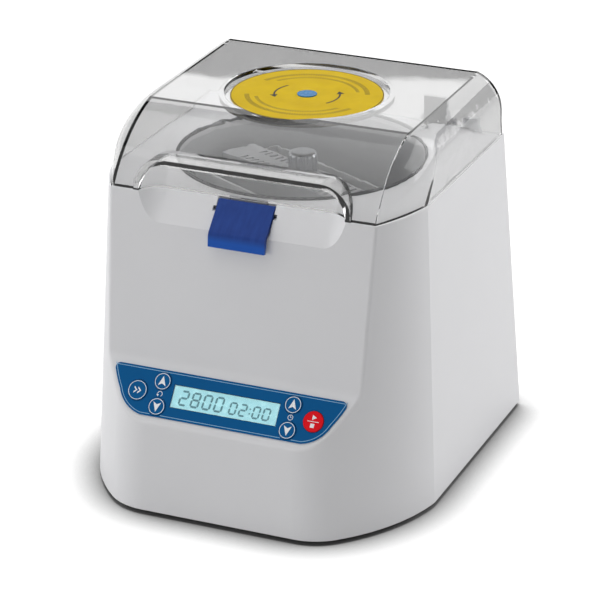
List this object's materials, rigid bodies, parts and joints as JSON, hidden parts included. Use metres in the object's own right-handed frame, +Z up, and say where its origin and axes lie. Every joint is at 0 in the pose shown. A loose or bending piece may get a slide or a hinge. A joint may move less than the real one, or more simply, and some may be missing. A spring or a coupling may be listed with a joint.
{
  "type": "microplate centrifuge",
  "caption": "Compact bench centrifuge for microplates: drafted housing with a sloping keypad, pull latch, hinged clear lid with a round label, and a spinning rotor with plate baskets.",
  "frame": {"origin": "under the middle of the base, on the plane that the feet stand on", "axes": "+Z up, +Y from the control panel at the front to the hinges and mains inlet at the rear, +X to the right seen from the front"},
  "size_m": [0.22, 0.2348, 0.231],
  "materials": {
    "housing": "fine moulded texture, light grey",
    "base_steel": "grey powder coat",
    "foot_rubber": "matte black rubber",
    "steel_screws": "zinc plated",
    "bowl_plastic": "smooth light grey",
    "seal_rubber": "grey silicone",
    "overlay_blue": "printed polyester, satin",
    "display_dark": "black carrier",
    "display_glass": "pale teal liquid crystal display",
    "switch_black": "black",
    "board_green": "green solder mask",
    "latch_blue": "moulded, satin",
    "pin_dark": "blackened",
    "spring_steel": "drawn wire",
    "lid_smoke": "smoky clear polycarbonate, polished",
    "label_yellow": "printed label",
    "dot_blue": "smooth",
    "magnet_nickel": "nickel plated",
    "hinge_grey": "dark grey coat",
    "rotor_plastic": "moulded mid grey",
    "rotor_aluminium": "turned",
    "shaft_steel": "ground",
    "motor_dark": "laminated core",
    "motor_zinc": "pressed can",
    "motor_copper": "copper windings",
    "inlet_black": "black",
    "rocker_black": "black",
    "key_blue": "printed key",
    "key_red": "printed key"
  },
  "bodies": {
    "root": {"housing": "housing", "base_plate": "base_steel", "feet": "foot_rubber", "base_screws": "steel_screws", "spin_bowl": "bowl_plastic", "bowl_gasket": "seal_rubber", "shaft_seal": "seal_rubber", "keypad_overlay": "overlay_blue", "display_module": "display_dark", "display_lens": "display_glass", "key_switches": "switch_black", "control_board": "board_green", "board_screws": "steel_screws", "latch_pin": "pin_dark", "latch_spring": "spring_steel", "lid_sensor": "switch_black", "hinge_brackets": "hinge_grey", "hinge_pins": "spring_steel", "hinge_screws": "steel_screws", "motor_can": "motor_zinc", "motor_stator": "motor_copper", "shaft_bearings": "shaft_steel", "motor_bracket": "base_steel", "motor_pillars": "rotor_aluminium", "motor_dampers": "foot_rubber", "bracket_screws": "steel_screws", "power_board": "board_green", "board_standoffs": "switch_black", "power_inlet": "inlet_black", "switch_body": "inlet_black"},
    "lid": {"lid_shell": "lid_smoke", "lid_label_disc": "label_yellow", "lid_centre_dot": "dot_blue", "lid_magnet": "magnet_nickel", "hinge_arms": "hinge_grey"},
    "rotor": {"rotor_floor": "rotor_plastic", "rotor_hub": "rotor_aluminium", "rotor_spine": "rotor_plastic", "plate_basket_a": "rotor_plastic", "plate_basket_b": "rotor_plastic", "rotor_knob": "rotor_aluminium", "drive_shaft": "shaft_steel", "motor_core": "motor_dark"},
    "latch": {"latch_lever": "latch_blue"},
    "rocker": {"power_rocker": "rocker_black"},
    "speed_up_button": {"speed_up_key": "key_blue"},
    "speed_down_button": {"speed_down_key": "key_blue"},
    "timer_up_button": {"timer_up_key": "key_blue"},
    "timer_down_button": {"timer_down_key": "key_blue"},
    "short_spin_button": {"short_spin_key": "key_blue"},
    "start_stop_button": {"start_stop_key": "key_red"}
  },
  "joints": [
    {"name": "lid_hinge", "type": "hinge", "parent": "root", "child": "lid", "pos_m": [0, 0.1035, 0.19], "axis": [-1, 0, 0], "range_deg": [0, 85]},
    {"name": "latch_pivot", "type": "hinge", "parent": "root", "child": "latch", "pos_m": [0, -0.0696, 0.1858], "axis": [-1, 0, 0], "range_deg": [0, 12], "stiffness_Nm_per_rad": 0.04, "springref_deg": -11.46},
    {"name": "rotor_spin", "type": "hinge", "parent": "root", "child": "rotor", "pos_m": [0, 0.0165, 0.13], "axis": [0, 0, 1], "continuous": true},
    {"name": "rocker_tilt", "type": "hinge", "parent": "root", "child": "rocker", "pos_m": [-0.028, 0.11068, 0.0397], "axis": [1, 0, 0], "range_deg": [0, 16]},
    {"name": "speed_up_press", "type": "slide", "parent": "root", "child": "speed_up_button", "axis": [0, 0.797, -0.604], "range_m": [0, 0.0004], "stiffness_N_per_m": 900, "springref_m": -0.0004},
    {"name": "speed_down_press", "type": "slide", "parent": "root", "child": "speed_down_button", "axis": [0, 0.797, -0.604], "range_m": [0, 0.0004], "stiffness_N_per_m": 900, "springref_m": -0.0004},
    {"name": "timer_up_press", "type": "slide", "parent": "root", "child": "timer_up_button", "axis": [0, 0.797, -0.604], "range_m": [0, 0.0004], "stiffness_N_per_m": 900, "springref_m": -0.0004},
    {"name": "timer_down_press", "type": "slide", "parent": "root", "child": "timer_down_button", "axis": [0, 0.797, -0.604], "range_m": [0, 0.0004], "stiffness_N_per_m": 900, "springref_m": -0.0004},
    {"name": "short_spin_press", "type": "slide", "parent": "root", "child": "short_spin_button", "axis": [0, 0.797, -0.604], "range_m": [0, 0.0004], "stiffness_N_per_m": 900, "springref_m": -0.0004},
    {"name": "start_stop_press", "type": "slide", "parent": "root", "child": "start_stop_button", "axis": [0, 0.797, -0.604], "range_m": [0, 0.0004], "stiffness_N_per_m": 900, "springref_m": -0.0004}
  ]
}
